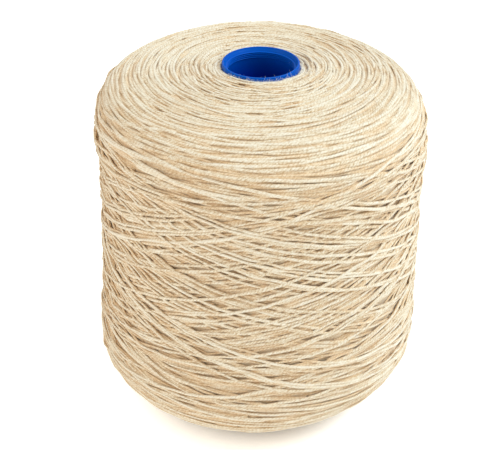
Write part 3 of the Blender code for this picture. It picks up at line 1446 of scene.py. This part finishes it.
@dataclass(frozen=True)
class WoolFinish:
    """Undyed woollen-spun yarn: oatmeal fibres with paler and browner ones mixed in."""

    name: str = "shetland_wool"
    pale: Colour = (0.82, 0.75, 0.61, 1.0)
    body: Colour = (0.70, 0.575, 0.395, 1.0)
    brown: Colour = (0.50, 0.335, 0.18, 1.0)
    # painted light: a warm colour for the hollows that stands in for light coming through the yarn
    painted_hollow_light: Colour = (0.90, 0.645, 0.385, 1.0)
    painted_hollow_light_share: float = 0.65
    lay: float = 0.0034
    plies: float = 2.0
    bump: float = 0.75
    bump_distance: float = 0.00016
    roughness: float = 0.92
    sheen: float = 0.40
    sheen_roughness: float = 0.45
    sheen_tint: Colour = (1.0, 0.97, 0.90, 1.0)
    specular: float = 0.2
    base_tone: float = -0.61
    strand_tone: float = 0.060
    patch_scale: float = 620.0
    patch_tone: float = 0.54
    fibre_tone: float = 0.80
    fleck_scale: float = 1900.0
    fleck_tone: float = 0.70
    # painted shade: how much darker the colour gets where the strand lies deep or on its flanks
    painted_shade_tone: float = 0.34
    # painted shade: paler ply crowns and darker grooves between the plies
    painted_ply_shade: float = 0.26
    stops: tuple[float, float, float] = (0.18, 0.42, 0.72)

    def build(self) -> bpy.types.Material:
        """Builds the material.

        The colour runs from brown through the body's colour to pale by a sum of the
        strand's own tone, the fibre streaks, patches and flecks, and painted shade: it
        is paler on the ply crowns, darker in the grooves between them, and darker where
        the strand lies deep or on its lower flanks. The hollows are mixed with a warm
        colour by the square of their depth, as painted light for light that comes
        through the yarn.

        Returns:
            The material.
        """
        material, make, shader = new_material(self.name)
        strand = make.add("ShaderNodeUVMap", "strand map", uv_map="Strand")
        twist = make.add("ShaderNodeGroup", "plies and fibres", node_tree=YarnTwistGroup.tree())
        make.feed(twist, {"Map": strand.outputs[0], "Lay": self.lay, "Plies": self.plies})
        tone = make.add("ShaderNodeAttribute", "strand's tone", attribute_name="tone")
        depth = make.add("ShaderNodeAttribute", "depth", attribute_name="depth")
        place = make.add("ShaderNodeTexCoord").outputs["Object"]
        patches = make.noise("heather patches", place, self.patch_scale)
        flecks = make.noise("flecks", place, self.fleck_scale, 1.0)
        shade = self.base_tone
        for part, weight in (
            (tone.outputs["Fac"], self.strand_tone),
            (patches, self.patch_tone),
            (twist.outputs["Fibre"], self.fibre_tone),
            (flecks, self.fleck_tone),
            # painted shade: paler ply crowns, darker grooves between them
            (twist.outputs["Ply"], self.painted_ply_shade),
            # painted shade: darker where the depth mask is high
            (depth.outputs["Fac"], -self.painted_shade_tone),
        ):
            shade = make.math("MULTIPLY_ADD", part, weight, shade)
        ramp = make.add("ShaderNodeValToRGB", "brown to pale")
        elements = ramp.color_ramp.elements
        elements[0].position, middle, elements[1].position = self.stops
        elements[0].color = self.brown
        elements[1].color = self.pale
        elements.new(middle).color = self.body
        make.join(shade, ramp.inputs[0])
        # painted light: the warm hollow colour mixed in by the square of the depth mask
        painted_hollow_light_mix = make.math("MULTIPLY", make.math("POWER", depth.outputs["Fac"], 2.0), self.painted_hollow_light_share)
        label = "light that comes through the yarn in its hollows"
        colour = make.blend(label, ramp.outputs["Color"], self.painted_hollow_light, painted_hollow_light_mix)
        make.feed(shader, {
            "Base Color": colour,
            "Normal": make.bump(twist.outputs["Height"], self.bump, self.bump_distance),
            "Roughness": self.roughness,
            "Specular IOR Level": self.specular,
            "Sheen Weight": self.sheen,
            "Sheen Roughness": self.sheen_roughness,
            "Sheen Tint": self.sheen_tint,
        })
        return material


@dataclass(frozen=True)
class FibreFinish:
    """Single loose fibres, paler than the yarn."""

    name: str = "loose_wool_fibre"
    colour: Colour = (0.95, 0.92, 0.85, 1.0)
    root: Colour = (0.84, 0.74, 0.58, 1.0)
    scale: float = 300.0
    roughness: float = 0.6

    def build(self) -> bpy.types.Material:
        """Builds the material: two colours mixed by noise on the object's coordinates.

        Returns:
            The material.
        """
        material, make, shader = new_material(self.name)
        place = make.add("ShaderNodeTexCoord").outputs["Object"]
        share = make.noise("fibre colours", place, self.scale)
        colour = make.blend("body and pale", self.root, self.colour, share)
        make.feed(shader, {"Base Color": colour, "Roughness": self.roughness})
        return material


@dataclass(frozen=True)
class PlasticFinish:
    """Moulded royal blue plastic with a soft gloss and fine handling marks."""

    name: str = "blue_plastic"
    colour: Colour = (0.0003, 0.086, 0.46, 1.0)
    # painted shade: the darker blue deep inside the tube, away from its open ends
    dark: Colour = (0.0003, 0.006, 0.36, 1.0)
    roughness: float = 0.31
    specular: float = 0.06
    half_length: float = 0.085
    painted_shade_full: float = 0.064
    painted_shade_gone: float = 0.0835
    drift_scale: float = 90.0
    drift_depth: float = 0.30
    mark_scale: tuple[float, float, float] = (60.0, 60.0, 4000.0)
    mark_roughness: float = 0.20
    bump: float = 0.15
    bump_distance: float = 0.00005
    refraction: float = 1.49

    def build(self) -> bpy.types.Material:
        """Builds the material.

        The blue darkens from both open ends of the tube towards its middle, with a slow
        drift, as painted shade deep in the tube, and the roughness has fine marks round
        the tube.

        Returns:
            The material.
        """
        material, make, shader = new_material(self.name)
        place = make.add("ShaderNodeTexCoord").outputs["Object"]
        drift = make.noise("slow drift", place, self.drift_scale)
        parts = make.add("ShaderNodeSeparateXYZ", "height")
        make.join(place, parts.inputs[0])
        off = make.math("ABSOLUTE", make.math("SUBTRACT", parts.outputs["Z"], self.half_length))
        ends = make.add("ShaderNodeMapRange", "light at the open ends", interpolation_type="SMOOTHSTEP")
        # painted shade: the mix stays near the dark blue in the tube's middle
        painted_shade_middle = make.math("MULTIPLY_ADD", drift, self.drift_depth, -self.drift_depth / 2)
        make.feed(ends, {
            "Value": off,
            "From Min": self.painted_shade_full,
            "From Max": self.painted_shade_gone,
            "To Min": painted_shade_middle,
        })
        drawn = make.add("ShaderNodeMapping", "marks run round the tube")
        make.feed(drawn, {"Vector": place, "Scale": self.mark_scale})
        marks = make.noise("handling marks", drawn.outputs[0], 1.0)
        smoothest = self.roughness - self.mark_roughness / 2
        rough = make.math("MULTIPLY_ADD", marks, self.mark_roughness, smoothest)
        make.feed(shader, {
            "Base Color": make.blend("blue", self.dark, self.colour, ends.outputs[0]),
            "Roughness": rough,
            "Normal": make.bump(marks, self.bump, self.bump_distance),
            "IOR": self.refraction,
            "Specular IOR Level": self.specular,
        })
        return material


@dataclass
class ConeTube:
    """The moulded tube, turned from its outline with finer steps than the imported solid.

    The mouth widens from the ridged collar to a thin lip, and below the collar the wall
    thins evenly over a short run.
    """

    form: TubeForm
    lip_radius: float = 0.0004
    lip_inside: float = 0.0003
    mouth_radius: float = 0.0160
    mouth_depth: float = 0.0016
    collar_run: float = 0.0060
    foot_wall: float = 0.0024
    foot_height: float = 0.0040
    foot_edge: float = 0.0005
    grip_ridges: int = 4
    grip_first: float = 0.0020
    grip_pitch: float = 0.00080
    grip_height: float = 0.00055
    grip_width: float = 0.8
    grip_points: int = 7
    columns: int = 160
    arc_points: int = 9
    wall_points: tuple[int, int] = (24, 48)
    mouth_points: int = 5
    sharp_angle: float = 50.0

    def arc(self, centre: tuple[float, float], radius: float, start: float, end: float) -> Array:
        """Points of an arc in the (radius, height) plane."""
        angle = np.radians(np.linspace(start, end, self.arc_points))
        return np.column_stack([centre[0] + radius * np.cos(angle), centre[1] + radius * np.sin(angle)])

    def grips(self) -> Array:
        """The collar's fine rings from the lowest up, each a squared cosine of its height.

        Returns:
            Points of the outline as rows of radius and height.
        """
        share = np.linspace(-0.5, 0.5, self.grip_points)
        radius = self.form.collar_radius - self.grip_height * np.cos(math.pi * share) ** 2
        rings = []
        for ring in reversed(range(self.grip_ridges)):
            middle = self.form.length - self.grip_first - ring * self.grip_pitch
            rings.append(np.column_stack([radius, middle + share * self.grip_pitch * self.grip_width]))
        return np.vstack(rings)

    def outline(self) -> Array:
        """Closed outline: lip, outer wall, foot, inner wall, ridged collar and mouth.

        Returns:
            Points as rows of radius and height.
        """
        form = self.form
        lip = self.lip_radius
        edge = self.foot_edge
        lip_height = form.length - lip
        foot_outer = float(form.outer_radius(0.0))
        foot_inner = foot_outer - self.foot_wall
        step = self.foot_height + self.foot_wall
        ledge = form.length - form.collar_depth
        wall_low = np.linspace(form.length - 2 * lip, 2 * edge, self.wall_points[0])
        outer = np.column_stack([form.outer_radius(wall_low), wall_low])
        wall_up = np.linspace(step, ledge, self.wall_points[1])
        collar_extra = form.outer_radius(ledge) - form.wall - form.collar_radius
        thickness = form.wall + collar_extra * smooth_step(wall_up, ledge - self.collar_run, ledge)
        inner = np.column_stack([form.outer_radius(wall_up) - thickness, wall_up])
        widening = np.column_stack([
            np.linspace(form.collar_radius, self.mouth_radius, self.mouth_points),
            np.linspace(form.length - self.mouth_depth, form.length - self.lip_inside, self.mouth_points),
        ])
        inside_lip = (self.mouth_radius + self.lip_inside, form.length - self.lip_inside)
        return np.vstack([
            self.arc((form.nose_radius - lip, lip_height), lip, 90, 0),
            outer,
            self.arc((foot_outer - edge, edge), edge, 0, -90),
            self.arc((foot_inner + edge, edge), edge, -90, -180),
            [[foot_inner, self.foot_height]],
            inner,
            self.grips(),
            widening[:-1],
            self.arc(inside_lip, self.lip_inside, 180, 90),
        ])

    def build(self) -> bpy.types.Object:
        """Builds the tube: the outline turned round Z, as a grid closed both ways.

        Returns:
            The piece.
        """
        outline = self.outline()
        angle = TURN * np.arange(self.columns) / self.columns
        radius = outline[:, 0][:, None]
        points = np.stack([
            radius * np.cos(angle)[None, :],
            radius * np.sin(angle)[None, :],
            np.broadcast_to(outline[:, 1][:, None], (len(outline), self.columns)),
        ], axis=-1)
        faces = grid_faces(len(outline), self.columns, row_closed=True, column_closed=True)
        piece = make_object("tube_shell", points.reshape(-1, 3), [faces])
        piece.data.set_sharp_from_angle(angle=math.radians(self.sharp_angle))
        return piece


@dataclass(frozen=True)
class Lamp:
    """A square area lamp that faces the package."""

    name: str
    place: tuple[float, float, float]
    size: float
    power: float
    colour: tuple[float, float, float]
    aim: tuple[float, float, float] = (0.0, 0.0, 0.09)

    def build(self) -> None:
        """Makes the lamp."""
        data = bpy.data.lights.new(self.name, "AREA")
        data.shape = "SQUARE"
        data.size = self.size
        data.energy = self.power
        data.color = self.colour
        lamp = bpy.data.objects.new(self.name, data)
        bpy.context.scene.collection.objects.link(lamp)
        lamp.location = self.place
        sight = Vector(self.aim) - Vector(self.place)
        lamp.rotation_euler = sight.to_track_quat("-Z", "Y").to_euler()


@dataclass
class Studio:
    """Pale floor, soft light and the camera at the photograph's angle."""

    picture_width: int = 500
    focal_pixels: float = 1100.0
    sensor: float = 36.0
    target: tuple[float, float, float] = (-0.00412, 0.0, 0.08611)
    distance: float = 0.52155
    elevation: float = 32.5
    roll: float = 0.46
    floor_size: float = 6.0
    # painted light and painted shadow: the floor glows though it is no lamp, not at all within the inner
    # radius under the package, fully past the outer one, and more to the camera than to the package
    painted_shadow_inner: float = 0.040
    painted_shadow_outer: float = 0.070
    table_glow: float = 0.30
    camera_only_glow: float = 0.34
    table_colour: Colour = (0.93, 0.93, 0.925, 1.0)
    table_shine: Colour = (1.0, 0.975, 0.93, 1.0)
    sky_colour: Colour = (1.0, 0.955, 0.89, 1.0)
    sky_strength: float = 0.71
    clip: tuple[float, float] = (0.01, 20.0)
    lamps: tuple[Lamp, ...] = (
        Lamp("key_lamp", (0.80, -0.10, 1.15), 0.8, 16.0, (0.71, 0.87, 1.0)),
        Lamp("front_lamp", (-1.30, -0.65, 0.50), 0.9, 5.0, (1.0, 0.96, 0.90)),
    )

    def camera(self) -> None:
        """Makes the camera, turned a little about its own line of sight."""
        data = bpy.data.cameras.new("photo_camera")
        data.sensor_width = self.sensor
        data.lens = self.focal_pixels / self.picture_width * self.sensor
        data.clip_start, data.clip_end = self.clip
        camera = bpy.data.objects.new("photo_camera", data)
        bpy.context.scene.collection.objects.link(camera)
        rise = math.radians(self.elevation)
        back = Vector((0.0, -math.cos(rise), math.sin(rise)))
        camera.location = Vector(self.target) + back * self.distance
        facing = (-back).to_track_quat("-Z", "Y").to_matrix().to_4x4()
        camera.rotation_euler = (facing @ Matrix.Rotation(math.radians(self.roll), 4, "Z")).to_euler()
        bpy.context.scene.camera = camera

    def floor(self) -> None:
        """Makes the floor, a large plain sheet at the height of the tube's foot that glows though it is no
        lamp: painted light, shut off under the package as a painted shadow, and brighter to the camera than
        to the package.
        """
        half = self.floor_size / 2
        corners = np.array([[-half, -half, 0.0], [half, -half, 0.0], [half, half, 0.0], [-half, half, 0.0]])
        floor = make_object("studio_floor", corners, [np.array([[0, 1, 2, 3]])])
        material, make, shader = new_material("studio_white")
        distance = make.add("ShaderNodeVectorMath", "distance from the axis", operation="LENGTH")
        make.join(make.add("ShaderNodeTexCoord").outputs["Object"], distance.inputs[0])
        label = "lit table, dark below the package"
        lit = make.add("ShaderNodeMapRange", label, interpolation_type="SMOOTHSTEP")
        make.feed(lit, {
            "Value": distance.outputs["Value"],
            "From Min": self.painted_shadow_inner,
            "From Max": self.painted_shadow_outer,
        })
        # painted light: extra glow seen only by the camera, which whitens the floor and its shadow
        path = make.add("ShaderNodeLightPath", "the table looks whiter than it shines")
        glow = make.math("MULTIPLY_ADD", path.outputs["Is Camera Ray"], self.camera_only_glow, self.table_glow)
        make.feed(shader, {
            "Base Color": self.table_colour,
            "Roughness": 0.9,
            "Specular IOR Level": 0.1,
            "Emission Color": self.table_shine,
            "Emission Strength": make.math("MULTIPLY", lit.outputs[0], glow),
        })
        floor.data.materials.append(material)

    def light(self) -> None:
        """Sets the white surroundings and the soft lamps."""
        world = bpy.data.worlds.new("studio_world")
        world.use_nodes = True
        background = world.node_tree.nodes["Background"]
        background.inputs["Color"].default_value = self.sky_colour
        background.inputs["Strength"].default_value = self.sky_strength
        bpy.context.scene.world = world
        for lamp in self.lamps:
            lamp.build()
        bpy.context.scene.view_settings.view_transform = "Standard"
        bpy.context.scene.view_settings.look = "None"

    def build(self) -> None:
        """Builds all of it."""
        self.camera()
        self.floor()
        self.light()


def dress(piece: bpy.types.Object, material: bpy.types.Material, slot: Slot, *nodes: str) -> None:
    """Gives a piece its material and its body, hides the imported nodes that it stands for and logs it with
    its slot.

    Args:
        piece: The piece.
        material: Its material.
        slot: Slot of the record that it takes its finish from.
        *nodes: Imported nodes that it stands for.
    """
    piece.data.materials.append(material)
    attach(piece, BODY)
    if nodes:
        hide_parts(*nodes)
    LOG.info("%s: %d faces, %s", piece.name, len(piece.data.polygons), slot.value)


def main() -> None:
    """Builds the studio, the tube and the winding, and reports each piece."""
    logging.basicConfig(level=logging.INFO, format="%(message)s")
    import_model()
    Studio().build()

    tube = ConeTube(TubeForm()).build()
    dress(tube, PlasticFinish().build(), Slot.PLASTIC, TUBE_NODE)

    form = PackageForm()
    winding = Winding(form)
    winding.lay_all()
    bed = winding.bed
    level = bed.level()
    wool = WoolFinish().build()
    dress(Core(form).build(), wool, Slot.WOOL, YARN_NODE)
    builder = StrandMesh(form, bed, level)
    for zone in Zone:
        piece = builder.build(zone.value, [s for s in bed.strands if s.zone is zone])
        if piece:
            dress(piece, wool, Slot.WOOL)
    dress(Fuzz(form, bed, level).build(), FibreFinish().build(), Slot.WOOL)


if __name__ == "__main__":
    main()
